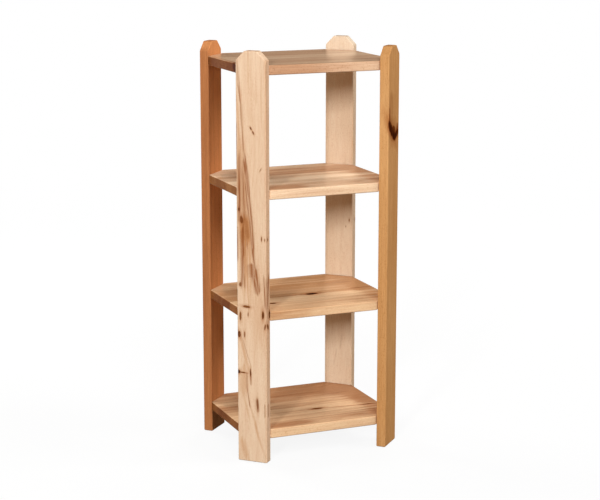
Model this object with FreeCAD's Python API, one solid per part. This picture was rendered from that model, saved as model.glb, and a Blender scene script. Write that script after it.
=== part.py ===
import FreeCAD, Part
import math
import os

# Open shelf stand of solid beech, in millimetres.
# Four flat posts stand across the clipped corners of four edge-glued shelves and are doweled to them.
# X runs along the shelves, the front is at -Y, Z is up, and the origin is on the floor at the centre.

# Posts
post_width = 80.0
post_thickness = 25.0
head_cut = 23.0             # leg of the 45 degree cut at each corner of a post's head
head_rise = 36.0            # height of the heads above the top shelf

# Shelves
shelf_count = 4
lowest_shelf_top = 84.0     # height of the bottom shelf's upper face above the floor
shelf_pitch = 310.0         # from one shelf's upper face to the next
shelf_length = 414.0
shelf_thickness = 24.0
stave_count = 5             # staves glued edge to edge, from front to back
stave_width = 69.0
corner_reveal = 2.0         # clipped corner that shows beyond each edge of its post

# Eased arrises
post_easing = 3.0
shelf_easing = 3.0

# Fluted dowels, two at each joint of a post and a shelf
dowel_diameter = 8.0
dowel_length = 40.0
dowel_in_post = 14.0        # length of a dowel that sits in the post
dowel_spacing = 40.0
dowel_end_chamfer = 1.0
dowel_clearance = 0.05      # between a dowel and the wall of its hole
dowel_end_space = 1.0       # room for glue past each end of a dowel
flute_count = 12
flute_depth = 0.4
flute_radius = 0.6

# Sizes that follow from the driving ones
shelf_depth = stave_count * stave_width
post_height = lowest_shelf_top + (shelf_count - 1) * shelf_pitch + head_rise
corner_cut = post_width + 2 * corner_reveal
corner_leg = corner_cut / math.sqrt(2)
dowel_in_shelf = dowel_length - dowel_in_post
hole_radius = dowel_diameter / 2 + dowel_clearance

UP = FreeCAD.Vector(0, 0, 1)
CORNERS = {
    "front_left": (-1, -1),
    "front_right": (1, -1),
    "rear_left": (-1, 1),
    "rear_right": (1, 1),
}


def shelf_top(shelf):
    """Height of a shelf's upper face. Shelf 1 is the bottom one."""
    return lowest_shelf_top + (shelf - 1) * shelf_pitch


def corner_placement(corner):
    """Puts a corner's own axes in place: X along the post, Y outwards, origin on the clipped face."""
    side, front = CORNERS[corner]
    centre = FreeCAD.Vector(
        side * (shelf_length - corner_leg) / 2,
        front * (shelf_depth - corner_leg) / 2,
        0,
    )
    turn = math.degrees(math.atan2(-side, front))
    return FreeCAD.Placement(centre, FreeCAD.Rotation(UP, turn))


def placed(shape, corner):
    """A copy of a shape that was made on a corner's own axes, moved to that corner."""
    copy = shape.copy()
    copy.Placement = corner_placement(corner)
    return copy


def prism(outline, direction):
    """Solid swept straight from a closed outline of points."""
    wire = Part.makePolygon(outline + [outline[0]])
    return Part.Face(wire).extrude(direction)


def dowel_centres(shelf):
    """Points where a joint's dowels cross from shelf to post, on the corner's own axes."""
    height = shelf_top(shelf) - shelf_thickness / 2
    return [FreeCAD.Vector(side * dowel_spacing / 2, 0, height) for side in (-1, 1)]


def dowel_holes(shelf):
    """The room that a joint's dowels take, from the bottom of one hole to the bottom of the other."""
    depth_in_shelf = dowel_in_shelf + dowel_end_space
    depth_in_post = dowel_in_post + dowel_end_space
    inwards = FreeCAD.Vector(0, -depth_in_shelf, 0)
    outwards = FreeCAD.Vector(0, 1, 0)
    return Part.makeCompound([
        Part.makeCylinder(hole_radius, depth_in_shelf + depth_in_post, centre + inwards, outwards)
        for centre in dowel_centres(shelf)
    ])


def post():
    """A flat board with a clipped head, eased on every edge and bored for the dowels of all shelves."""
    half = post_width / 2
    shoulder = post_height - head_cut
    outline = [
        FreeCAD.Vector(-half, 0, 0),
        FreeCAD.Vector(half, 0, 0),
        FreeCAD.Vector(half, 0, shoulder),
        FreeCAD.Vector(half - head_cut, 0, post_height),
        FreeCAD.Vector(head_cut - half, 0, post_height),
        FreeCAD.Vector(-half, 0, shoulder),
    ]
    board = prism(outline, FreeCAD.Vector(0, post_thickness, 0))
    board = board.makeFillet(post_easing, board.Edges)
    for shelf in range(1, shelf_count + 1):
        board = board.cut(dowel_holes(shelf))
    return board


def shelf_panel(shelf):
    """A panel with its four corners clipped for the posts, eased on every edge and bored for the dowels."""
    half_length = shelf_length / 2
    half_depth = shelf_depth / 2
    bottom = shelf_top(shelf) - shelf_thickness
    outline = [
        FreeCAD.Vector(half_length - corner_leg, -half_depth, bottom),
        FreeCAD.Vector(half_length, corner_leg - half_depth, bottom),
        FreeCAD.Vector(half_length, half_depth - corner_leg, bottom),
        FreeCAD.Vector(half_length - corner_leg, half_depth, bottom),
        FreeCAD.Vector(corner_leg - half_length, half_depth, bottom),
        FreeCAD.Vector(-half_length, half_depth - corner_leg, bottom),
        FreeCAD.Vector(-half_length, corner_leg - half_depth, bottom),
        FreeCAD.Vector(corner_leg - half_length, -half_depth, bottom),
    ]
    panel = prism(outline, UP * shelf_thickness)
    panel = panel.makeFillet(shelf_easing, panel.Edges)
    for corner in CORNERS:
        panel = panel.cut(placed(dowel_holes(shelf), corner))
    return panel


def stave(panel, number):
    """The strip of a panel that is one board of the glue-up. Stave 1 is at the front."""
    box = panel.BoundBox
    front = (number - 1) * stave_width - shelf_depth / 2
    strip = Part.makeBox(
        box.XLength, stave_width, box.ZLength, FreeCAD.Vector(box.XMin, front, box.ZMin)
    )
    return panel.common(strip)


def dowel():
    """One fluted dowel with chamfered ends, along Y, with its crossing from shelf to post at the origin."""
    radius = dowel_diameter / 2
    tip = radius - dowel_end_chamfer
    inner_end = -dowel_in_shelf
    outer_end = dowel_in_post
    half_section = [
        FreeCAD.Vector(0, inner_end, 0),
        FreeCAD.Vector(tip, inner_end, 0),
        FreeCAD.Vector(radius, inner_end + dowel_end_chamfer, 0),
        FreeCAD.Vector(radius, outer_end - dowel_end_chamfer, 0),
        FreeCAD.Vector(tip, outer_end, 0),
        FreeCAD.Vector(0, outer_end, 0),
    ]
    along = FreeCAD.Vector(0, 1, 0)
    face = Part.Face(Part.makePolygon(half_section + [half_section[0]]))
    pin = face.revolve(FreeCAD.Vector(0, 0, 0), along, 360)
    flute_centre = radius - flute_depth + flute_radius
    flutes = []
    for number in range(flute_count):
        angle = 2 * math.pi * number / flute_count
        foot = FreeCAD.Vector(
            flute_centre * math.cos(angle), inner_end, flute_centre * math.sin(angle)
        )
        flutes.append(Part.makeCylinder(flute_radius, dowel_length, foot, along))
    return pin.cut(Part.makeCompound(flutes))


def dowel_pair(pin, shelf, corner):
    """Both dowels of one joint."""
    pins = []
    for centre in dowel_centres(shelf):
        one = pin.copy()
        one.translate(centre)
        pins.append(one)
    return placed(Part.makeCompound(pins), corner)


def write(name, shape):
    """Keeps one node as a STEP file, after a check that every solid in it is sound."""
    sound = shape.isValid() and all(solid.isClosed() for solid in shape.Solids)
    verdict = "sound" if sound else "NOT SOUND"
    print(f"{name}: {len(shape.Solids)} solids, {shape.Volume / 1000:.1f} cm3, {verdict}")
    shape.exportStep(f"parts/{name}.step")


os.makedirs("parts", exist_ok=True)
board = post()
pin = dowel()
for corner in CORNERS:
    write(f"{corner}_post", placed(board, corner))
for shelf in range(1, shelf_count + 1):
    panel = shelf_panel(shelf)
    for number in range(1, stave_count + 1):
        write(f"shelf_{shelf}_stave_{number}", stave(panel, number))
    for corner in CORNERS:
        write(f"shelf_{shelf}_{corner}_dowels", dowel_pair(pin, shelf, corner))
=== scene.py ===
import math

import bpy
from mathutils import Matrix, Vector


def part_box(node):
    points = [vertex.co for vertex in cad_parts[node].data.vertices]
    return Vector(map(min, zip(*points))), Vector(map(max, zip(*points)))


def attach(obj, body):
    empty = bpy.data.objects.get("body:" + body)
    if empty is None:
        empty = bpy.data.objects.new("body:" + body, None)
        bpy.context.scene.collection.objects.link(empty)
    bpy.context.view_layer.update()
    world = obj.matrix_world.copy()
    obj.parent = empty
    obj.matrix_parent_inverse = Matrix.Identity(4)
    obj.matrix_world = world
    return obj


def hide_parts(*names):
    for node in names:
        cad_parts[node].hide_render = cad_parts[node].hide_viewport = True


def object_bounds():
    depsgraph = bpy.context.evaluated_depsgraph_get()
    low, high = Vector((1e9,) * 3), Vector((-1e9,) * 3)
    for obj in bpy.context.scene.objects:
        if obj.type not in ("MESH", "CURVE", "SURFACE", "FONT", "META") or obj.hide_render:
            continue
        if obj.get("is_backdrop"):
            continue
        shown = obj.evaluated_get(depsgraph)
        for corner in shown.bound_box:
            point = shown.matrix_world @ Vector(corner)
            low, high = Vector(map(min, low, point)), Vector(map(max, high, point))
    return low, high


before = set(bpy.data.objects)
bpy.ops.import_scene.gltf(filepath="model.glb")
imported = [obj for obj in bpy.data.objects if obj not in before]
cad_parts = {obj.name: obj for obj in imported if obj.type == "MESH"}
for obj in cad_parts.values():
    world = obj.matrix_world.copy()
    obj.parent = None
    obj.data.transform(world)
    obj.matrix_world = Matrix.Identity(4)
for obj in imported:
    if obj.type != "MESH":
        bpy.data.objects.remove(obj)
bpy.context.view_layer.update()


# Shelves. Each is a panel of five heart beech staves, glued edge to edge and 24 mm thick. Its four corners
# are sawn off at 45 degrees, where the posts stand, and its outer edges are eased by sanding. The top and
# the edges are oiled and rubbed to a satin sheen. The underside stays matt.

shelf_count = 4
stave_count = 5
corner_cut_width = 0.084
corner_leg = corner_cut_width / math.sqrt(2)
easing = 0.003
easing_segments = 4
millimetre = 0.001


def place_node(tree, kind, feeds, **settings):
    """Adds a node with its settings, and feeds its inputs from other nodes' sockets or with values."""
    node = tree.nodes.new(kind)
    for setting, value in settings.items():
        setattr(node, setting, value)
    for socket, value in feeds.items():
        if isinstance(value, bpy.types.NodeSocket):
            tree.links.new(value, node.inputs[socket])
        else:
            node.inputs[socket].default_value = value
    return node


def maths(tree, operation, *values):
    """One step of arithmetic on sockets and numbers."""
    return place_node(tree, "ShaderNodeMath", dict(enumerate(values)), operation=operation).outputs[0]


def vector_maths(tree, operation, *values):
    """One step of arithmetic on vector sockets and plain vectors."""
    feeds = dict(enumerate(values))
    return place_node(tree, "ShaderNodeVectorMath", feeds, operation=operation).outputs[0]


def length(tree, vector):
    """How long a vector is."""
    return place_node(tree, "ShaderNodeVectorMath", {0: vector}, operation="LENGTH").outputs["Value"]


def rise(tree, value, start, end):
    """A smooth rise from 0 where the value is at its start to 1 where it is at its end."""
    feeds = {"Value": value, "From Min": start, "From Max": end}
    return place_node(tree, "ShaderNodeMapRange", feeds, interpolation_type="SMOOTHSTEP").outputs[0]


def new_tree(name, kind, inputs, outputs):
    """A node tree with named inputs and outputs: the tree, its input sockets and its output node."""
    tree = bpy.data.node_groups.new(name, kind)
    for socket, socket_kind in inputs.items():
        tree.interface.new_socket(socket, in_out="INPUT", socket_type=socket_kind)
    for socket, socket_kind in outputs.items():
        tree.interface.new_socket(socket, in_out="OUTPUT", socket_type=socket_kind)
    entry = tree.nodes.new("NodeGroupInput")
    exit_node = tree.nodes.new("NodeGroupOutput")
    return tree, entry.outputs, exit_node


def clipped_board_tree():
    """A planed board, flat and centred on the origin, with both corners on its +Y side cut at 45 degrees.
    Edges get the weight that the easing goes by: none along a side that is glued to the next board.
    Each board also carries where its pith lay, how much heartwood it has and a number of its own."""
    number = "NodeSocketFloat"
    tree, size, finished = new_tree(
        "clipped_board",
        "GeometryNodeTree",
        {
            "Length": number,
            "Width": number,
            "Thickness": number,
            "Corner Cut": number,
            "Cut Side Glued": "NodeSocketBool",
            "Plain Side Glued": "NodeSocketBool",
            "Pith": "NodeSocketVector",
            "Heartwood": number,
            "Own Number": number,
            "Wood": "NodeSocketMaterial",
        },
        {"Board": "NodeSocketGeometry"},
    )
    outline = place_node(
        tree,
        "GeometryNodeCurvePrimitiveQuadrilateral",
        {"Width": size["Length"], "Height": size["Width"]},
    )
    place = place_node(tree, "GeometryNodeInputPosition", {})
    across = place_node(tree, "ShaderNodeSeparateXYZ", {0: place.outputs[0]}).outputs["Y"]
    on_cut_side = maths(tree, "GREATER_THAN", across, 0.0)
    corner = maths(tree, "MULTIPLY", on_cut_side, size["Corner Cut"])
    cut = place_node(
        tree,
        "GeometryNodeFilletCurve",
        {"Curve": outline.outputs[0], "Count": 1, "Radius": corner},
        mode="POLY",
    )
    sheet = place_node(tree, "GeometryNodeFillCurve", {"Curve": cut.outputs[0]}, mode="NGONS")
    joined_distance = 0.00001
    sheet = place_node(
        tree, "GeometryNodeMergeByDistance", {"Geometry": sheet.outputs[0], "Distance": joined_distance}
    )
    raised = place_node(
        tree,
        "GeometryNodeExtrudeMesh",
        {"Mesh": sheet.outputs[0], "Offset Scale": size["Thickness"], "Individual": False},
        mode="FACES",
    )
    underside = place_node(tree, "GeometryNodeFlipFaces", {"Mesh": sheet.outputs[0]})
    both = tree.nodes.new("GeometryNodeJoinGeometry")
    tree.links.new(raised.outputs["Mesh"], both.inputs[0])
    tree.links.new(underside.outputs[0], both.inputs[0])
    board = place_node(
        tree, "GeometryNodeMergeByDistance", {"Geometry": both.outputs[0], "Distance": joined_distance}
    )
    half_down = place_node(
        tree, "ShaderNodeCombineXYZ", {"Z": maths(tree, "MULTIPLY", size["Thickness"], -0.5)}
    )
    board = place_node(
        tree,
        "GeometryNodeTransform",
        {"Geometry": board.outputs[0], "Translation": half_down.outputs[0]},
    )

    # An edge lies on a side of the board when both its ends are almost half the width from the middle.
    almost_half = 0.499
    ends = place_node(tree, "GeometryNodeInputMeshEdgeVertices", {})
    first = place_node(tree, "ShaderNodeSeparateXYZ", {0: ends.outputs["Position 1"]}).outputs["Y"]
    second = place_node(tree, "ShaderNodeSeparateXYZ", {0: ends.outputs["Position 2"]}).outputs["Y"]
    near_side = maths(tree, "MULTIPLY", size["Width"], almost_half)
    glued = None
    for side, turned in (("Cut Side Glued", 1.0), ("Plain Side Glued", -1.0)):
        both_there = maths(
            tree,
            "MULTIPLY",
            maths(tree, "GREATER_THAN", maths(tree, "MULTIPLY", first, turned), near_side),
            maths(tree, "GREATER_THAN", maths(tree, "MULTIPLY", second, turned), near_side),
        )
        on_glue_line = maths(tree, "MULTIPLY", both_there, size[side])
        glued = on_glue_line if glued is None else maths(tree, "MAXIMUM", glued, on_glue_line)
    shape = board.outputs[0]
    for name, kind, domain, value in (
        ("bevel_weight_edge", "FLOAT", "EDGE", maths(tree, "SUBTRACT", 1.0, glued)),
        ("pith", "FLOAT_VECTOR", "POINT", size["Pith"]),
        ("heartwood", "FLOAT", "POINT", size["Heartwood"]),
        ("own_number", "FLOAT", "POINT", size["Own Number"]),
    ):
        kept = place_node(
            tree,
            "GeometryNodeStoreNamedAttribute",
            {"Geometry": shape, "Name": name, "Value": value},
            data_type=kind,
            domain=domain,
        )
        shape = kept.outputs[0]
    smooth = place_node(tree, "GeometryNodeSetShadeSmooth", {0: shape})
    crisp = place_node(
        tree,
        "GeometryNodeSetShadeSmooth",
        {0: smooth.outputs[0], "Selection": glued, "Shade Smooth": False},
        domain="EDGE",
    )
    whole = place_node(tree, "GeometryNodeRealizeInstances", {0: crisp.outputs[0]})
    dressed = place_node(
        tree, "GeometryNodeSetMaterial", {"Geometry": whole.outputs[0], "Material": size["Wood"]}
    )
    tree.links.new(dressed.outputs[0], finished.inputs[0])
    return tree


clipped_board = clipped_board_tree()


def make_board(node, place, sizes):
    """Makes one board with the tree, eases its edges and puts it in place of its CAD node."""
    blank = bpy.data.objects.new("blank", bpy.data.meshes.new("blank"))
    bpy.context.scene.collection.objects.link(blank)
    shaping = blank.modifiers.new("shape", "NODES")
    shaping.node_group = clipped_board
    for item in clipped_board.interface.items_tree:
        if item.in_out == "INPUT" and item.name in sizes:
            shaping[item.identifier] = sizes[item.name]
    sanding = blank.modifiers.new("easing", "BEVEL")
    sanding.limit_method = "WEIGHT"
    sanding.width = easing
    sanding.segments = easing_segments
    sanding.harden_normals = True
    bpy.context.view_layer.update()
    mesh = bpy.data.meshes.new_from_object(blank.evaluated_get(bpy.context.evaluated_depsgraph_get()))
    bpy.data.objects.remove(blank)
    mesh.name = node + "_board"
    mesh.transform(place)
    board = bpy.data.objects.new(node + "_board", mesh)
    bpy.context.scene.collection.objects.link(board)
    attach(board, "root")
    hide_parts(node)


def colour(red, green, blue):
    """A colour as a screen shows it, each part from 0 to 255, as the linear values that a socket takes."""
    parts = []
    for part in (red, green, blue):
        share = part / 255
        parts.append(share / 12.92 if share <= 0.04045 else ((share + 0.055) / 1.055) ** 2.4)
    return (*parts, 1.0)


def tint(tree, way, amount, under, over):
    """Lays one colour over another. A Mix node keeps its sockets for colours after those for other kinds."""
    factor, lower, upper, result = 0, 6, 7, 2
    feeds = {factor: amount, lower: under, upper: over}
    return place_node(tree, "ShaderNodeMix", feeds, data_type="RGBA", blend_type=way).outputs[result]


def mottle(tree, place, grain, detail=1.0):
    """Soft noise from 0 to 1. The grain is the rough size of its patches along each axis of the place."""
    stretched = vector_maths(tree, "DIVIDE", place, grain)
    feeds = {"Vector": stretched, "Scale": 1.0, "Detail": detail}
    return place_node(tree, "ShaderNodeTexNoise", feeds, noise_dimensions="3D").outputs[0]


def heart_beech_group():
    """The figure of beech on a board's own axes in millimetres: X across, Y through it, Z along the grain.
    Growth rings lie round the pith, rays run out from it, and brown heart shows as bands along the grain."""
    number = "NodeSocketFloat"
    tree, given, figure = new_tree(
        "heart_beech",
        "ShaderNodeTree",
        {
            "Board": "NodeSocketVector",
            "Pith": "NodeSocketVector",
            "Heartwood": number,
            "Own Number": number,
            "Knot Push": number,
            "End Grain": number,
            "Ring Width": number,
            "Ring Contrast": number,
            "Banding": number,
            "Sapwood": "NodeSocketColor",
            "Brown Heart": "NodeSocketColor",
        },
        {"Colour": "NodeSocketColor", "Roughness": number, "Height": number},
    )
    # Every board is cut from another place in the log.
    log_steps = {"X": 173.0, "Y": 91.0, "Z": 1310.0}
    steps = {axis: maths(tree, "MULTIPLY", given["Own Number"], step) for axis, step in log_steps.items()}
    shift = place_node(tree, "ShaderNodeCombineXYZ", steps).outputs[0]
    moved = vector_maths(tree, "ADD", given["Board"], shift)

    # Rings round a pith that wanders a little.
    pith_wander = 22.0
    wander = mottle(tree, moved, grain=(60.0, 60.0, 330.0)).node.outputs["Color"]
    wander = vector_maths(tree, "SUBTRACT", wander, (0.5, 0.5, 0.5))
    wander = vector_maths(tree, "MULTIPLY", wander, (pith_wander, pith_wander, 0.0))
    wandered = vector_maths(tree, "ADD", given["Board"], wander)
    from_pith = vector_maths(tree, "SUBTRACT", wandered, given["Pith"])
    parts = place_node(tree, "ShaderNodeSeparateXYZ", {0: from_pith}).outputs
    flat = place_node(tree, "ShaderNodeCombineXYZ", {"X": parts["X"], "Y": parts["Y"]}).outputs[0]
    radius = maths(tree, "ADD", length(tree, flat), given["Knot Push"])
    angle = maths(tree, "ARCTAN2", parts["Y"], parts["X"])
    count = maths(tree, "DIVIDE", radius, given["Ring Width"])
    ring_unevenness = 2.5
    in_log = {"Y": given["Own Number"]}
    ring_line = place_node(tree, "ShaderNodeCombineXYZ", {"X": count, **in_log}).outputs[0]
    uneven = mottle(tree, ring_line, grain=(4.0, 1.0, 1.0))
    count = maths(tree, "MULTIPLY_ADD", uneven, ring_unevenness, count)
    ring = maths(tree, "FLOOR", count)
    through = maths(tree, "FRACT", count)
    darkening = rise(tree, through, start=0.30, end=0.90)
    late_wood = maths(tree, "MULTIPLY", darkening, rise(tree, through, start=1.0, end=0.94))
    ring_place = place_node(tree, "ShaderNodeCombineXYZ", {"X": ring, **in_log}).outputs[0]
    ring_tone = place_node(
        tree, "ShaderNodeTexWhiteNoise", {"Vector": ring_place}, noise_dimensions="2D"
    ).outputs[0]

    # Brown heart in long bands, uneven in patches and from ring to ring.
    patch_share = 0.8
    ring_share = 0.25
    middle_tone = (1.0 + patch_share + ring_share) / 2
    band = mottle(tree, moved, grain=(13.0, 13.0, 520.0), detail=2.0)
    patch = mottle(tree, moved, grain=(45.0, 45.0, 260.0))
    uneven_heart = maths(tree, "MULTIPLY_ADD", patch, patch_share, band)
    uneven_heart = maths(tree, "MULTIPLY_ADD", ring_tone, ring_share, uneven_heart)
    uneven_heart = maths(tree, "SUBTRACT", uneven_heart, middle_tone)
    heart = maths(tree, "MULTIPLY_ADD", uneven_heart, given["Banding"], given["Heartwood"])
    heart = place_node(tree, "ShaderNodeClamp", {0: heart}).outputs[0]
    wood = tint(tree, "MIX", heart, given["Sapwood"], given["Brown Heart"])
    end_grain_rings = 0.5
    late_wood_tint = (0.80, 0.68, 0.56, 1.0)
    ring_strength = maths(tree, "MULTIPLY_ADD", given["End Grain"], end_grain_rings, given["Ring Contrast"])
    ring_shade = maths(tree, "MULTIPLY", late_wood, ring_strength)
    wood = tint(tree, "MULTIPLY", ring_shade, wood, late_wood_tint)

    # Rays, seen as short dark dashes on a face and as fine lines on the end grain.
    ray_circle = 90.0
    ray_depth = 0.7
    ray_tint = (0.80, 0.70, 0.60, 1.0)
    polar = place_node(
        tree,
        "ShaderNodeCombineXYZ",
        {"X": radius, "Y": maths(tree, "MULTIPLY", angle, ray_circle), "Z": parts["Z"]},
    ).outputs[0]
    ray = mottle(tree, vector_maths(tree, "ADD", polar, shift), grain=(6.0, 0.6, 3.0), detail=0.0)
    fleck = rise(tree, ray, start=0.60, end=0.72)
    wood = tint(tree, "MULTIPLY", maths(tree, "MULTIPLY", fleck, ray_depth), wood, ray_tint)

    # Fine fibres along the grain. Cut across, they take up more oil and turn dark.
    fibre_depth = 0.35
    end_grain_tint = (0.40, 0.235, 0.125, 1.0)
    fibre = mottle(tree, moved, grain=(0.7, 0.7, 34.0), detail=2.0)
    grey_fibre = place_node(tree, "ShaderNodeCombineColor", dict.fromkeys(range(3), fibre)).outputs[0]
    wood = tint(tree, "OVERLAY", fibre_depth, wood, grey_fibre)
    wood = tint(tree, "MULTIPLY", given["End Grain"], wood, end_grain_tint)

    early_wood_roughness = 0.44
    late_wood_smoother = -0.06
    ray_rougher = 0.08
    end_grain_rougher = 0.14
    ray_sinks = 0.4
    roughness = maths(tree, "MULTIPLY_ADD", late_wood, late_wood_smoother, early_wood_roughness)
    roughness = maths(tree, "MULTIPLY_ADD", fleck, ray_rougher, roughness)
    roughness = maths(tree, "MULTIPLY_ADD", given["End Grain"], end_grain_rougher, roughness)
    height = maths(tree, "SUBTRACT", fibre, maths(tree, "MULTIPLY", fleck, ray_sinks))
    for name, value in (("Colour", wood), ("Roughness", roughness), ("Height", height)):
        tree.links.new(value, figure.inputs[name])
    return tree


heart_beech = heart_beech_group()


mark_inputs = ("Across", "Along", "Half Breadth", "Half Length", "Lean", "Bow", "Depth")


def mark(across, along, half_breadth, half_length, lean=0.0, bow=0.0, depth=1.0):
    """Where a knot, a streak or a band lies on a board, in millimetres and degrees, and how strong it is."""
    return dict(zip(mark_inputs, (across, along, half_breadth, half_length, lean, bow, depth)))


def wood_mark_group():
    """One mark on a board's face. It is read as a knot, with the stain round it and its push on the rings,
    as a thin brown streak that tapers to both ends, or as a broad soft band with feathered ends.
    With a slant, it moves sideways on its way through the board from the outer face."""
    number = "NodeSocketFloat"
    tree, given, marks = new_tree(
        "wood_mark",
        "ShaderNodeTree",
        {
            "Board": "NodeSocketVector",
            "Ragged": number,
            "Wander": number,
            "Feather": number,
            "Slant": number,
            **dict.fromkeys(mark_inputs, number),
        },
        dict.fromkeys(("Knot", "Stain", "Push", "Streak", "Band"), number),
    )
    outer_face = 12.5
    parts = place_node(tree, "ShaderNodeSeparateXYZ", {0: given["Board"]}).outputs
    below_face = maths(tree, "SUBTRACT", outer_face, parts["Y"])
    aside = maths(tree, "SUBTRACT", parts["X"], given["Across"])
    aside = maths(tree, "MULTIPLY_ADD", below_face, given["Slant"], aside)
    up = maths(tree, "SUBTRACT", parts["Z"], given["Along"])
    turned = place_node(
        tree,
        "ShaderNodeVectorRotate",
        {
            "Vector": place_node(tree, "ShaderNodeCombineXYZ", {"X": aside, "Y": up}).outputs[0],
            "Angle": maths(tree, "RADIANS", given["Lean"]),
        },
        rotation_type="Z_AXIS",
    ).outputs[0]

    half = place_node(
        tree, "ShaderNodeCombineXYZ", {"X": given["Half Breadth"], "Y": given["Half Length"], "Z": 1.0}
    ).outputs[0]
    shape = vector_maths(tree, "DIVIDE", turned, half)
    distance = maths(tree, "ADD", length(tree, shape), given["Ragged"])
    stain_fade = 2.0
    knot = rise(tree, distance, start=1.15, end=0.70)
    stain = maths(tree, "POWER", rise(tree, distance, start=3.2, end=0.8), stain_fade)
    push = maths(tree, "MULTIPLY", rise(tree, distance, start=3.5, end=0.0), given["Half Breadth"])

    place = place_node(tree, "ShaderNodeSeparateXYZ", {0: turned}).outputs
    reach = maths(tree, "ABSOLUTE", maths(tree, "DIVIDE", place["Y"], given["Half Length"]))
    bend = maths(tree, "SUBTRACT", 1.0, maths(tree, "MULTIPLY", reach, reach))
    off = maths(tree, "SUBTRACT", place["X"], maths(tree, "MULTIPLY", bend, given["Bow"]))
    off = maths(tree, "ABSOLUTE", maths(tree, "ADD", off, given["Wander"]))
    off = maths(tree, "DIVIDE", off, given["Half Breadth"])
    thinnest = 0.05
    taper = maths(tree, "MAXIMUM", rise(tree, reach, start=1.0, end=0.5), thinnest)
    off_line = maths(tree, "DIVIDE", off, taper)
    line = rise(tree, off_line, start=0.9, end=0.0)
    halo = rise(tree, off_line, start=2.0, end=0.2)
    streak = maths(tree, "MULTIPLY", maths(tree, "ADD", line, halo), 0.5)
    streak = maths(tree, "MULTIPLY", streak, rise(tree, reach, start=1.0, end=0.6))
    blunt_end = 4.0
    feathered = maths(tree, "MAXIMUM", maths(tree, "ADD", reach, given["Feather"]), 0.0)
    far_along = maths(tree, "POWER", feathered, blunt_end)
    far_out = maths(tree, "SQRT", maths(tree, "MULTIPLY_ADD", off, off, far_along))
    band = rise(tree, far_out, start=1.5, end=0.3)

    for name, value in (("Knot", knot), ("Stain", stain), ("Streak", streak), ("Band", band)):
        tree.links.new(maths(tree, "MULTIPLY", value, given["Depth"]), marks.inputs[name])
    tree.links.new(push, marks.inputs["Push"])
    return tree


wood_mark = wood_mark_group()


def swing(tree, place, grain, detail, amount):
    """Soft noise that swings to both sides of nothing, by up to half the amount."""
    return maths(tree, "MULTIPLY", maths(tree, "SUBTRACT", mottle(tree, place, grain, detail), 0.5), amount)


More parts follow.
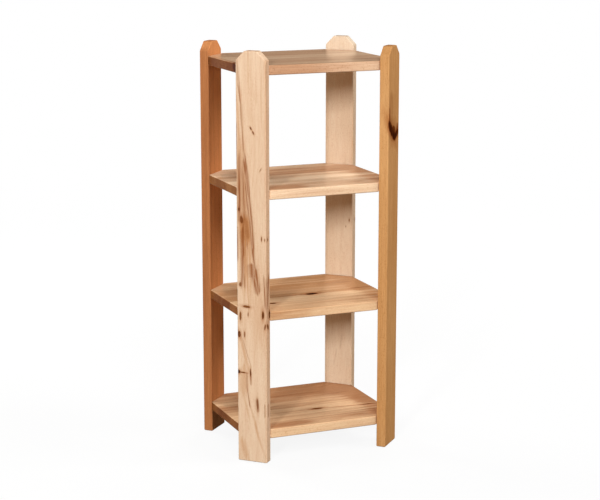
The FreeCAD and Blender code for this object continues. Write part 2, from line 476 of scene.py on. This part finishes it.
def beech_wood(
    name,
    place,
    turn,
    sapwood,
    brown_heart,
    ring_width,
    ring_contrast,
    banding,
    end_grain_depth=1.0,
    bands=(),
    streaks=(),
    knots=(),
    polish=0.0,
    mark_slant=0.4,
):
    """Finished beech for one board or panel. The place and turn lay the board's own axes on it."""
    material = bpy.data.materials.new(name)
    material.use_nodes = True
    tree = material.node_tree
    finish = tree.nodes["Principled BSDF"]
    spot = place_node(tree, "ShaderNodeTexCoord", {})
    axes = {"Location": place, "Rotation": turn, "Scale": (millimetre, millimetre, millimetre)}
    board = place_node(
        tree, "ShaderNodeMapping", {"Vector": spot.outputs["Object"], **axes}, vector_type="TEXTURE"
    ).outputs[0]
    facing = place_node(
        tree,
        "ShaderNodeMapping",
        {"Vector": spot.outputs["Normal"], "Rotation": turn},
        vector_type="TEXTURE",
    )
    faces = place_node(tree, "ShaderNodeSeparateXYZ", {0: facing.outputs[0]}).outputs
    end_grain = rise(tree, maths(tree, "ABSOLUTE", faces["Z"]), start=0.72, end=0.97)
    end_grain = maths(tree, "MULTIPLY", end_grain, end_grain_depth)
    own = {}
    for attribute, output in (("pith", "Vector"), ("heartwood", "Fac"), ("own_number", "Fac")):
        carried = place_node(tree, "ShaderNodeAttribute", {}, attribute_name=attribute)
        own[attribute] = carried.outputs[output]

    shared = {
        "Board": board,
        "Ragged": swing(tree, board, grain=(7.0, 7.0, 24.0), detail=4.0, amount=0.9),
        "Wander": swing(tree, board, grain=(40.0, 40.0, 130.0), detail=2.0, amount=5.0),
        "Feather": swing(tree, board, grain=(4.0, 4.0, 150.0), detail=3.0, amount=2.4),
    }
    heart = own["heartwood"]
    slanted = {**shared, "Slant": mark_slant}
    # On the shelves some of these bands are painted shade and painted light: a darker right end and a paler
    # rear left.
    for band in bands:
        laid = place_node(tree, "ShaderNodeGroup", {**shared, **band}, node_tree=wood_mark).outputs
        heart = maths(tree, "ADD", heart, laid["Band"])
    dark = 0.0
    for streak in streaks:
        laid = place_node(tree, "ShaderNodeGroup", {**slanted, **streak}, node_tree=wood_mark).outputs
        dark = maths(tree, "MAXIMUM", dark, laid["Streak"])
    core, stain, push = 0.0, 0.0, 0.0
    for knot in knots:
        laid = place_node(tree, "ShaderNodeGroup", {**slanted, **knot}, node_tree=wood_mark).outputs
        core = maths(tree, "MAXIMUM", core, laid["Knot"])
        stain = maths(tree, "MAXIMUM", stain, laid["Stain"])
        push = maths(tree, "ADD", push, laid["Push"])

    feeds = {
        "Board": board,
        "Pith": own["pith"],
        "Heartwood": heart,
        "Own Number": own["own_number"],
        "Knot Push": push,
        "End Grain": end_grain,
        "Ring Width": ring_width,
        "Ring Contrast": ring_contrast,
        "Banding": banding,
        "Sapwood": sapwood,
        "Brown Heart": brown_heart,
    }
    figure = place_node(tree, "ShaderNodeGroup", feeds, node_tree=heart_beech)
    shade = figure.outputs["Colour"]
    if streaks:
        # The brown follows the fibres, so a streak is made of fine lines.
        between_lines = 0.55
        on_lines = 1.17
        streak_tint = (0.46, 0.26, 0.15, 1.0)
        lines = rise(tree, mottle(tree, board, grain=(1.3, 1.3, 60.0), detail=2.0), start=0.36, end=0.62)
        strength = maths(tree, "MULTIPLY_ADD", lines, on_lines - between_lines, between_lines)
        shade = tint(tree, "MULTIPLY", maths(tree, "MULTIPLY", dark, strength), shade, streak_tint)
    if knots:
        # A knot stains the wood round it. Inside, it is black bark and resin with brown fibres between.
        stain_depth = 0.7
        stain_tint = (0.58, 0.32, 0.15, 1.0)
        knot_depth = 1.6
        knot_tint = (0.42, 0.25, 0.13, 1.0)
        bark_depth = 3.0
        fibre_gap = -0.75
        bark = colour(40, 17, 10)
        shade = tint(tree, "MULTIPLY", maths(tree, "MULTIPLY", stain, stain_depth), shade, stain_tint)
        shade = tint(tree, "MULTIPLY", maths(tree, "MULTIPLY", core, knot_depth), shade, knot_tint)
        fibres = rise(tree, mottle(tree, board, grain=(3.2, 3.2, 11.0), detail=3.0), start=0.48, end=0.62)
        black = maths(tree, "POWER", core, bark_depth)
        black = maths(tree, "MULTIPLY", black, maths(tree, "MULTIPLY_ADD", fibres, fibre_gap, 1.0))
        shade = tint(tree, "MIX", black, shade, bark)
    tree.links.new(shade, finish.inputs["Base Color"])
    tree.links.new(figure.outputs["Roughness"], finish.inputs["Roughness"])
    relief = place_node(
        tree,
        "ShaderNodeBump",
        {"Strength": 0.15, "Distance": 0.0004, "Height": figure.outputs["Height"]},
    )
    tree.links.new(relief.outputs[0], finish.inputs["Normal"])
    finish.inputs["Specular IOR Level"].default_value = 0.0
    if polish:
        # End grain drinks most of the oil, and the underside isn't rubbed.
        lost_on_end_grain = 0.8
        polished = maths(tree, "MULTIPLY_ADD", end_grain, -lost_on_end_grain * polish, polish)
        polished = maths(tree, "MULTIPLY", polished, rise(tree, faces["Y"], start=-0.9, end=-0.5))
        tree.links.new(polished, finish.inputs["Coat Weight"])
    finish.inputs["Coat Roughness"].default_value = 0.22
    finish.inputs["Coat IOR"].default_value = 1.5
    return material


# Across a shelf's stave is the room's depth, along its grain is the room's width.
stave_axes = Matrix(((0, 0, 1), (1, 0, 0), (0, 1, 0))).to_euler()
shelf_heart = {
    1: (0.56, 0.30, 0.58, 0.86, 1.10),
    2: (0.52, 0.14, 0.74, 0.92, 0.84),
    3: (0.60, 0.32, 0.70, 0.80, 0.70),
    4: (0.36, 0.44, 0.38, 0.50, 0.54),
}
stave_pith = ((-40.0, -70.0), (22.0, -95.0), (-14.0, 88.0), (60.0, -60.0), (8.0, 110.0))
# Bands of heartwood on each shelf. Most are the wood's own tone. Some are painted shade, darker over the
# right end, and some partly painted light, paler at the rear left.
shelf_bands_with_painted_light_and_shade = {
    1: [
        mark(-172.5, 0.0, 4.0, 400.0, depth=-0.42),
        mark(-28.0, 0.0, 11.0, 300.0, depth=-0.25),
        mark(44.0, 0.0, 16.0, 300.0, depth=-0.15),
        mark(-145.0, -90.0, 22.0, 70.0, depth=0.50),
        mark(99.0, 113.0, 18.0, 45.0, depth=0.40),
        # Painted shade: a darker band over the right end of the shelf.
        mark(-20.0, 207.0, 200.0, 60.0, depth=0.65),
        mark(70.0, 175.0, 90.0, 60.0, depth=0.20),
        # Partly the wood's own paler tone, partly painted light: paler at the rear left.
        mark(108.0, -200.0, 50.0, 70.0, depth=-0.60),
        mark(30.0, -200.0, 32.0, 70.0, depth=0.25),
    ],
    2: [
        mark(-172.5, -110.0, 5.0, 70.0, depth=0.30),
        mark(-172.5, 80.0, 4.0, 170.0, depth=-0.25),
        mark(-30.0, -20.0, 7.0, 200.0, depth=0.05),
        mark(78.0, 0.0, 12.0, 260.0, depth=0.25),
        # Painted shade: a darker band over the right end of the shelf.
        mark(-30.0, 205.0, 120.0, 60.0, depth=0.80),
        mark(-60.0, 0.0, 14.0, 300.0, depth=-0.30),
        # Partly the wood's own paler tone, partly painted light: paler at the rear left.
        mark(108.0, -200.0, 50.0, 70.0, depth=-0.60),
        mark(8.0, -200.0, 32.0, 60.0, depth=0.15),
    ],
    3: [
        mark(-172.5, 0.0, 4.0, 400.0, depth=-0.20),
        mark(-30.0, 0.0, 21.0, 300.0, depth=-0.70),
        mark(95.0, 0.0, 35.0, 300.0, depth=0.10),
        mark(-140.0, -95.0, 22.0, 60.0, depth=0.70),
        mark(40.0, -195.0, 70.0, 40.0, depth=-0.20),
        # Painted shade: a darker band over the right end of the shelf.
        mark(-30.0, 205.0, 130.0, 60.0, depth=0.50),
        mark(-85.0, 190.0, 45.0, 60.0, depth=0.35),
        # Partly the wood's own paler tone, partly painted light: paler at the rear left.
        mark(120.0, -200.0, 52.0, 70.0, depth=-0.50),
        mark(8.0, -200.0, 30.0, 60.0, depth=0.15),
    ],
    4: [
        mark(-172.5, 0.0, 5.0, 400.0, depth=0.45),
        mark(-172.5, -130.0, 5.0, 110.0, depth=0.10),
        mark(-172.5, 140.0, 5.0, 110.0, depth=-0.35),
        mark(0.0, -209.0, 200.0, 12.0, depth=0.60),
        mark(20.0, 0.0, 40.0, 300.0, depth=-0.25),
        mark(-60.0, 60.0, 8.0, 200.0, depth=-0.20),
        # Partly the wood's own paler tone, partly painted light: paler at the rear left.
        mark(80.0, -200.0, 45.0, 60.0, depth=-0.25),
    ],
}
shelf_streaks = {
    1: [
        mark(-63.0, 130.0, 3.0, 90.0, lean=-5.0, depth=1.0),
        mark(-52.0, -20.0, 3.0, 100.0, depth=0.55),
        mark(7.0, -60.0, 2.5, 130.0, depth=0.45),
        mark(-20.0, 40.0, 2.0, 150.0, depth=0.4),
        mark(-120.0, 20.0, 3.0, 120.0, depth=0.4),
        mark(90.0, -20.0, 4.0, 160.0, depth=0.4),
        mark(60.0, 90.0, 2.5, 110.0, lean=2.0, depth=0.5),
    ],
    2: [
        mark(-32.0, -10.0, 3.5, 100.0, depth=0.45),
        mark(60.0, 120.0, 4.0, 80.0, depth=0.5),
        mark(-15.0, 170.0, 5.0, 40.0, depth=0.6),
        mark(20.0, -30.0, 3.0, 140.0, depth=0.35),
        mark(-88.0, -60.0, 2.5, 120.0, depth=0.4),
        mark(110.0, 40.0, 3.0, 150.0, depth=0.35),
    ],
    3: [
        mark(45.0, 20.0, 4.0, 170.0, depth=0.5),
        mark(110.0, -40.0, 5.0, 150.0, depth=0.5),
        mark(-95.0, 40.0, 3.0, 160.0, depth=0.35),
        mark(10.0, 60.0, 2.5, 120.0, lean=1.5, depth=0.4),
        mark(75.0, 100.0, 3.0, 90.0, depth=0.4),
    ],
    4: [
        mark(-100.0, 20.0, 3.0, 180.0, depth=0.4),
        mark(120.0, 0.0, 6.0, 200.0, depth=0.4),
        mark(-30.0, -60.0, 2.5, 140.0, depth=0.35),
        mark(60.0, 60.0, 3.0, 140.0, depth=0.35),
    ],
}
shelf_knots = {
    1: [mark(-52.5, 31.0, 6.5, 18.0, depth=0.60), mark(-66.0, 168.0, 3.5, 14.0, depth=0.5)],
    2: [mark(-31.5, 23.0, 9.0, 18.0), mark(-91.0, -111.0, 5.0, 9.0)],
    3: [],
    4: [mark(-80.0, -207.0, 14.0, 5.0, depth=0.5)],
}
shelf_polish = {1: 0.36, 2: 0.5, 3: 0.48, 4: 0.8}
shelf_sapwood = {
    1: colour(234, 197, 156),
    2: colour(234, 197, 156),
    3: colour(249, 220, 186),
    4: colour(229, 194, 161),
}
shelf_brown = {
    1: colour(174, 125, 88),
    2: colour(188, 138, 95),
    3: colour(192, 146, 110),
    4: colour(188, 141, 106),
}
for shelf in range(1, shelf_count + 1):
    low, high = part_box(f"shelf_{shelf}_stave_1")
    middle = Vector((0.0, 0.0, (low.z + high.z) / 2))
    wood = beech_wood(
        f"shelf_{shelf}_beech",
        middle,
        stave_axes,
        shelf_sapwood[shelf],
        shelf_brown[shelf],
        ring_width=3.2,
        ring_contrast=0.32,
        banding=1.0,
        bands=shelf_bands_with_painted_light_and_shade[shelf],
        streaks=shelf_streaks[shelf],
        knots=shelf_knots[shelf],
        polish=shelf_polish[shelf],
    )
    for number in range(1, stave_count + 1):
        node = f"shelf_{shelf}_stave_{number}"
        low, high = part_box(node)
        front = number == 1
        inner = 1 < number < stave_count
        place = Matrix.Translation((low + high) / 2)
        if front:
            place = place @ Matrix.Rotation(math.pi, 4, "Z")
        pith_across, pith_depth = stave_pith[(number + shelf) % stave_count]
        make_board(
            node,
            place,
            {
                "Length": high.x - low.x,
                "Width": high.y - low.y,
                "Thickness": high.z - low.z,
                "Corner Cut": 0.0 if inner else corner_leg,
                "Cut Side Glued": inner,
                "Plain Side Glued": True,
                "Pith": ((low.y + high.y) / 2 / millimetre + pith_across, pith_depth, 0.0),
                "Heartwood": shelf_heart[shelf][number - 1],
                "Own Number": shelf + number / 10,
                "Wood": wood,
            },
        )


# Dowels. Two fluted beech pins hold each corner of a shelf to its post. They are bought ready made and glued
# into blind holes, so none of them shows, and they stay without oil.

dowel_wood = beech_wood(
    "dry_dowel_beech",
    Vector((0.0, 0.0, 0.0)),
    stave_axes,
    colour(226, 194, 154),
    colour(190, 140, 96),
    ring_width=2.4,
    ring_contrast=0.4,
    banding=0.6,
)
for name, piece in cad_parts.items():
    if name.endswith("_dowels"):
        piece.data.materials.clear()
        piece.data.materials.append(dowel_wood)


# Posts. Four planed beech boards, each from another part of the log, stand on end across the shelves' clipped
# corners, broad face outwards, and are held by the dowels. Both corners of each head are sawn off at 45
# degrees, all edges are eased, and the wood is oiled and left matt.

post_width = 0.080
post_thickness = 0.025
head_cut = 0.023


def make_post(corner, side, front, pith, heartwood, own_number, **figure):
    """Makes the post of one corner. Its axes: across, outwards, and up from the floor."""
    node = f"{corner}_post"
    low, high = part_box(node)
    middle = (low + high) / 2
    turn = math.atan2(-side, front)
    floor_point = Vector((middle.x, middle.y, low.z))
    wood = beech_wood(f"{corner}_beech", floor_point, (0.0, 0.0, turn), end_grain_depth=0.4, **figure)
    stood_up = Matrix.Rotation(math.pi / 2, 4, "X")
    place = Matrix.Translation(middle) @ Matrix.Rotation(turn, 4, "Z") @ stood_up
    make_board(
        node,
        place,
        {
            "Length": post_width,
            "Width": high.z - low.z,
            "Thickness": post_thickness,
            "Corner Cut": head_cut,
            "Cut Side Glued": False,
            "Plain Side Glued": False,
            "Pith": (*pith, 0.0),
            "Heartwood": heartwood,
            "Own Number": own_number,
            "Wood": wood,
        },
    )


# Front left post: pale sapwood. Brown heart streaks cross it from its upper left, above a scatter of knots.
make_post(
    "front_left",
    side=-1,
    front=-1,
    pith=(-30.0, -75.0),
    heartwood=0.10,
    own_number=11.0,
    sapwood=colour(231, 202, 173),
    brown_heart=colour(194, 140, 94),
    ring_width=3.4,
    ring_contrast=0.12,
    banding=0.5,
    bands=[
        mark(-43.0, 525.0, 6.0, 900.0, depth=0.38),
        mark(24.0, 690.0, 17.0, 230.0, lean=3.0, depth=0.60),
        mark(16.0, 608.0, 13.0, 36.0, lean=4.0, depth=0.55),
        mark(-12.0, 450.0, 25.0, 160.0, lean=6.0, depth=0.20),
        mark(20.0, 283.0, 4.0, 62.0, lean=16.0, depth=0.35),
        mark(22.0, 212.0, 14.0, 40.0, depth=0.40),
        mark(14.0, 137.0, 3.0, 40.0, lean=13.0, depth=0.30),
        mark(-2.0, 126.0, 2.5, 40.0, lean=18.0, depth=0.30),
        mark(-19.0, 65.0, 3.0, 50.0, lean=18.0, depth=0.35),
        mark(22.0, 34.0, 8.0, 30.0, lean=15.0, depth=0.35),
        mark(5.0, 1010.0, 2.5, 60.0, depth=0.25),
        mark(-15.0, 985.0, 2.0, 80.0, depth=0.20),
        mark(-28.0, 960.0, 3.0, 90.0, depth=0.20),
    ],
    streaks=[
        mark(35.0, 1000.0, 1.8, 42.0, lean=1.0, depth=0.75),
        mark(25.5, 900.0, 2.0, 150.0, lean=3.9, depth=0.70),
        mark(30.0, 945.0, 2.4, 36.0, lean=8.0, depth=0.9),
        mark(24.0, 899.0, 4.0, 30.0, lean=2.0, depth=0.5),
        mark(38.0, 815.0, 2.4, 84.0, depth=0.6),
        mark(6.0, 665.0, 3.2, 170.0, lean=5.2, bow=-4.5),
        mark(12.0, 735.0, 4.4, 64.0, lean=8.0),
        mark(8.5, 632.0, 2.8, 130.0, lean=6.0, bow=-4.0, depth=0.8),
        mark(29.5, 722.0, 4.2, 100.0, bow=2.5),
        mark(21.0, 700.0, 5.0, 80.0, lean=2.5, depth=0.7),
        mark(34.0, 655.0, 3.0, 40.0, depth=0.6),
        mark(14.0, 620.0, 9.0, 50.0, lean=8.0, depth=0.55),
        mark(39.0, 568.0, 4.2, 60.0),
        mark(23.5, 540.0, 4.6, 104.0, lean=-2.0),
        mark(22.5, 572.0, 5.6, 52.0),
        mark(14.0, 590.0, 3.0, 40.0, lean=6.0, depth=0.5),
        mark(-6.5, 532.0, 2.8, 40.0, lean=8.0),
        mark(-2.0, 501.0, 10.0, 25.0, lean=10.0, depth=0.95),
        mark(-8.5, 470.0, 6.0, 40.0, lean=14.6),
        mark(-15.5, 478.0, 5.4, 42.0, lean=9.0),
        mark(-11.5, 478.0, 8.0, 34.0, lean=11.0, depth=0.5),
        mark(20.0, 476.0, 2.8, 28.0, lean=4.0, depth=0.6),
        mark(-35.5, 450.0, 2.6, 56.0, lean=2.0, depth=0.95),
        mark(-39.0, 440.0, 3.0, 54.0, depth=0.5),
        mark(15.0, 290.0, 1.6, 48.0, lean=19.0, depth=0.5),
        mark(9.5, 170.0, 1.8, 36.0, lean=8.0, depth=0.8),
        mark(14.0, 215.0, 2.6, 30.0, depth=0.7),
        mark(2.0, 221.0, 2.4, 24.0, depth=0.9),
        mark(-15.0, 152.0, 4.6, 24.0, lean=2.0, depth=0.8),
        mark(-35.5, 139.0, 1.6, 24.0, depth=0.9),
    ],
    knots=[
        mark(-0.5, 860.0, 2.0, 4.5, lean=30.0, depth=0.8),
        mark(-6.5, 850.0, 1.8, 5.0, lean=25.0, depth=0.7),
        mark(-26.0, 758.0, 1.2, 5.0, lean=-30.0, depth=0.4),
        mark(33.5, 656.0, 2.0, 5.0, depth=0.6),
        mark(26.0, 630.0, 5.0, 10.0, lean=5.0, depth=0.5),
        mark(-28.0, 584.0, 1.4, 6.0, depth=0.6),
        mark(-36.0, 582.0, 1.3, 4.0, depth=0.5),
        mark(31.0, 464.0, 3.4, 6.0, depth=0.55),
        mark(15.0, 408.0, 10.0, 3.4, lean=-3.0, depth=0.65),
        mark(-31.0, 390.0, 3.2, 12.0, depth=0.8),
        mark(10.0, 388.0, 1.6, 6.0, depth=0.45),
        mark(31.0, 382.0, 3.0, 13.0, depth=0.6),
        mark(-36.5, 359.0, 2.2, 8.0, lean=-10.0, depth=0.55),
        mark(35.0, 334.0, 5.0, 9.0, depth=0.75),
        mark(20.0, 335.0, 2.2, 8.0, depth=0.5),
        mark(36.6, 236.0, 4.0, 5.0, depth=0.9),
        mark(27.0, 235.0, 10.0, 1.4, lean=-3.0, depth=0.7),
        mark(4.5, 236.0, 1.8, 11.0, depth=0.8),
        mark(-15.0, 154.0, 2.8, 15.0, lean=2.0, depth=0.45),
    ],
)

# Rear right post: the palest board, even sapwood with hardly a mark.
make_post(
    "rear_right",
    side=1,
    front=1,
    pith=(24.0, 120.0),
    heartwood=0.16,
    own_number=12.0,
    sapwood=colour(230, 208, 182),
    brown_heart=colour(206, 164, 124),
    ring_width=3.0,
    ring_contrast=0.10,
    banding=0.4,
    bands=[mark(0.0, 1040.0, 60.0, 50.0, depth=-0.2), mark(43.0, 525.0, 6.0, 900.0, depth=0.4)],
    streaks=[
        mark(18.0, 205.0, 2.0, 30.0, lean=8.0, depth=0.3),
        mark(1.0, 160.0, 2.0, 30.0, lean=10.0, depth=0.25),
    ],
    knots=[
        mark(41.0, 550.0, 1.6, 4.5, depth=0.55),
        mark(31.0, 532.0, 1.2, 3.0, depth=0.4),
    ],
)

# Rear left post: reddish brown heartwood, darkest at its front edge.
make_post(
    "rear_left",
    side=-1,
    front=1,
    pith=(-90.0, 40.0),
    heartwood=0.14,
    own_number=13.0,
    sapwood=colour(211, 143, 91),
    brown_heart=colour(155, 97, 60),
    ring_width=2.8,
    ring_contrast=0.25,
    banding=0.6,
    bands=[mark(-42.0, 525.0, 9.0, 900.0, depth=0.5)],
)

# Front right post: golden brown heartwood with one large dark knot high on its face.
make_post(
    "front_right",
    side=1,
    front=-1,
    pith=(15.0, -80.0),
    heartwood=0.56,
    own_number=14.0,
    sapwood=colour(217, 167, 112),
    brown_heart=colour(182, 126, 72),
    ring_width=3.6,
    ring_contrast=0.25,
    banding=0.6,
    mark_slant=1.6,
    bands=[mark(43.0, 880.0, 6.0, 160.0, depth=-0.35)],
    streaks=[
        mark(20.0, 884.0, 26.0, 62.0, depth=0.40),
        mark(32.0, 872.0, 9.0, 34.0, depth=0.8),
        mark(19.0, 836.0, 14.0, 40.0, lean=44.0),
        mark(-17.0, 829.0, 12.0, 32.0, lean=-40.0),
    ],
    knots=[
        mark(19.0, 839.0, 10.5, 33.0, lean=41.0, depth=0.86),
        mark(-19.5, 822.0, 8.5, 22.0, lean=-60.0, depth=0.86),
        mark(-3.0, 819.0, 13.0, 11.5, depth=0.94),
        mark(3.0, 833.0, 13.0, 16.0, depth=0.74),
    ],
)


# Floor. A pale seamless studio floor, and far away a low white wall that curves up from it. The camera sees
# both as white, and near the stand with a trace of the floor's own shade, for the shadow. The wall is open
# behind on the right, as a studio is for its lamps, so the oiled shelves mirror the dim room there.

paper = bpy.data.materials.new("white_paper")
paper.use_nodes = True
tree = paper.node_tree
tree.nodes.remove(tree.nodes["Principled BSDF"])
seen = place_node(tree, "ShaderNodeLightPath", {}).outputs
straight = maths(tree, "MAXIMUM", seen["Is Glossy Ray"], seen["Is Transmission Ray"])
straight = maths(tree, "MAXIMUM", seen["Is Camera Ray"], straight)
no_bounce = maths(tree, "LESS_THAN", seen["Diffuse Depth"], 0.5)
straight = maths(tree, "MULTIPLY", straight, no_bounce)
spot = place_node(tree, "ShaderNodeTexCoord", {}).outputs["Object"]
white_near_stand = 0.90
far_off = rise(tree, length(tree, spot), start=1.0, end=4.0)
white_share = maths(tree, "MULTIPLY_ADD", far_off, 1.0 - white_near_stand, white_near_stand)
dull_to_the_stand = (0.10, 0.08, 0.06, 1.0)
pale_paper = (0.8, 0.8, 0.8, 1.0)
plain_white = (1.0, 1.0, 1.0, 1.0)
dull = place_node(tree, "ShaderNodeBsdfDiffuse", {"Color": dull_to_the_stand}).outputs[0]
plain = place_node(tree, "ShaderNodeBsdfDiffuse", {"Color": pale_paper}).outputs[0]
glow = place_node(tree, "ShaderNodeEmission", {"Color": plain_white, "Strength": 1.0}).outputs[0]
shown = place_node(tree, "ShaderNodeMixShader", {0: white_share, 1: plain, 2: glow}).outputs[0]
blend = place_node(tree, "ShaderNodeMixShader", {0: straight, 1: dull, 2: shown}).outputs[0]
tree.links.new(blend, tree.nodes["Material Output"].inputs["Surface"])


def stage_sheet(name, points, faces):
    """A sheet of the studio, which is no part of the stand."""
    mesh = bpy.data.meshes.new(name)
    mesh.from_pydata(points, [], faces)
    mesh.materials.append(paper)
    for face in mesh.polygons:
        face.use_smooth = True
    sheet = bpy.data.objects.new(name, mesh)
    bpy.context.scene.collection.objects.link(sheet)
    sheet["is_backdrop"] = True


floor_half = 60.0
floor_drop = 0.0003
stage_sheet(
    "studio_floor",
    [(x * floor_half, y * floor_half, -floor_drop) for x, y in ((-1, -1), (1, -1), (1, 1), (-1, 1))],
    [(0, 1, 2, 3)],
)
wall_radius = 16.0
wall_height = 3.2
cove_radius = 1.2
cove_steps = 8
wall_start = 166.0
wall_span = 337.0
wall_steps = 84
profile = []
for step in range(cove_steps + 1):
    bend = math.pi / 2 * step / cove_steps
    cove_out = wall_radius - cove_radius * (1 - math.sin(bend))
    profile.append((cove_out, cove_radius * (1 - math.cos(bend))))
profile.append((wall_radius, wall_height))
points = []
faces = []
for step in range(wall_steps + 1):
    azimuth = math.radians(wall_start + wall_span * step / wall_steps)
    for radius, height in profile:
        points.append((radius * math.sin(azimuth), -radius * math.cos(azimuth), height))
row = len(profile)
for step in range(wall_steps):
    for ring in range(row - 1):
        corner = step * row + ring
        faces.append((corner, corner + row, corner + row + 1, corner + 1))
stage_sheet("studio_wall", points, faces)


# Light. A tall narrow soft box in front on the left is the key. Broad ones high in front and at the right
# fill, with a weak warm one low on the left and two behind. The room round them is dim and a little warm.

world = bpy.data.worlds.new("studio_room")
bpy.context.scene.world = world
world.use_nodes = True
room = world.node_tree.nodes["Background"]
dim_warm = (0.026, 0.022, 0.017, 1.0)
room.inputs["Color"].default_value = dim_warm
room.inputs["Strength"].default_value = 1.0
target = Vector((0.0, 0.0, 0.55))
white_light = (1.0, 1.0, 1.0)
warm_light = (1.0, 0.86, 0.66)


def soft_box(name, azimuth, elevation, distance, size, power, mirrored=True, tone=white_light):
    """A soft box that faces the stand. Azimuth 0 is in front, and turns to the right."""
    lamp = bpy.data.lights.new(name, "AREA")
    lamp.shape = "RECTANGLE"
    lamp.size, lamp.size_y = size
    lamp.energy = power
    lamp.color = tone
    turn = math.radians(azimuth)
    lift = math.radians(elevation)
    way = Vector((math.sin(turn) * math.cos(lift), -math.cos(turn) * math.cos(lift), math.sin(lift)))
    holder = bpy.data.objects.new(name, lamp)
    holder.visible_glossy = mirrored
    holder.location = target + way * distance
    holder.rotation_euler = way.to_track_quat("Z", "Y").to_euler()
    bpy.context.scene.collection.objects.link(holder)


soft_box("key_box", azimuth=-40.0, elevation=17.8, distance=8.0, size=(0.7, 1.4), power=440.0)
soft_box(
    "fill_box", azimuth=60.0, elevation=26.0, distance=7.0, size=(2.8, 2.8), power=304.0, mirrored=False
)
soft_box("front_box", azimuth=-8.0, elevation=42.0, distance=6.0, size=(2.0, 2.0), power=132.0)
soft_box(
    "side_box",
    azimuth=-62.0,
    elevation=1.0,
    distance=5.0,
    size=(1.2, 1.0),
    power=27.0,
    mirrored=False,
    tone=warm_light,
)
for name, azimuth, power in (("rear_left_box", -150.0, 105.0), ("rear_right_box", 138.0, 73.0)):
    soft_box(name, azimuth, elevation=25.0, distance=4.2, size=(1.6, 1.6), power=power, mirrored=False)


# Camera. It stands in front on the left, higher than the top shelf, with a long lens and no shift, so that
# the stand stays in the picture from other sides too.

camera_azimuth = math.radians(-22.55)
camera_reach = 4.4004
camera_height = 1.44884
camera_tilt = math.radians(90.0 - 12.08)
camera_turn = math.radians(-22.59)
camera = bpy.data.cameras.new("camera")
camera.lens = 102.74
camera.sensor_width = 36.0
viewer = bpy.data.objects.new("camera", camera)
viewer.location = (
    math.sin(camera_azimuth) * camera_reach,
    -math.cos(camera_azimuth) * camera_reach,
    camera_height,
)
viewer.rotation_euler = (camera_tilt, 0.0, camera_turn)
bpy.context.scene.collection.objects.link(viewer)
bpy.context.scene.camera = viewer
bpy.context.scene.view_settings.view_transform = "Standard"


# The finished stand's box.

low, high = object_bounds()
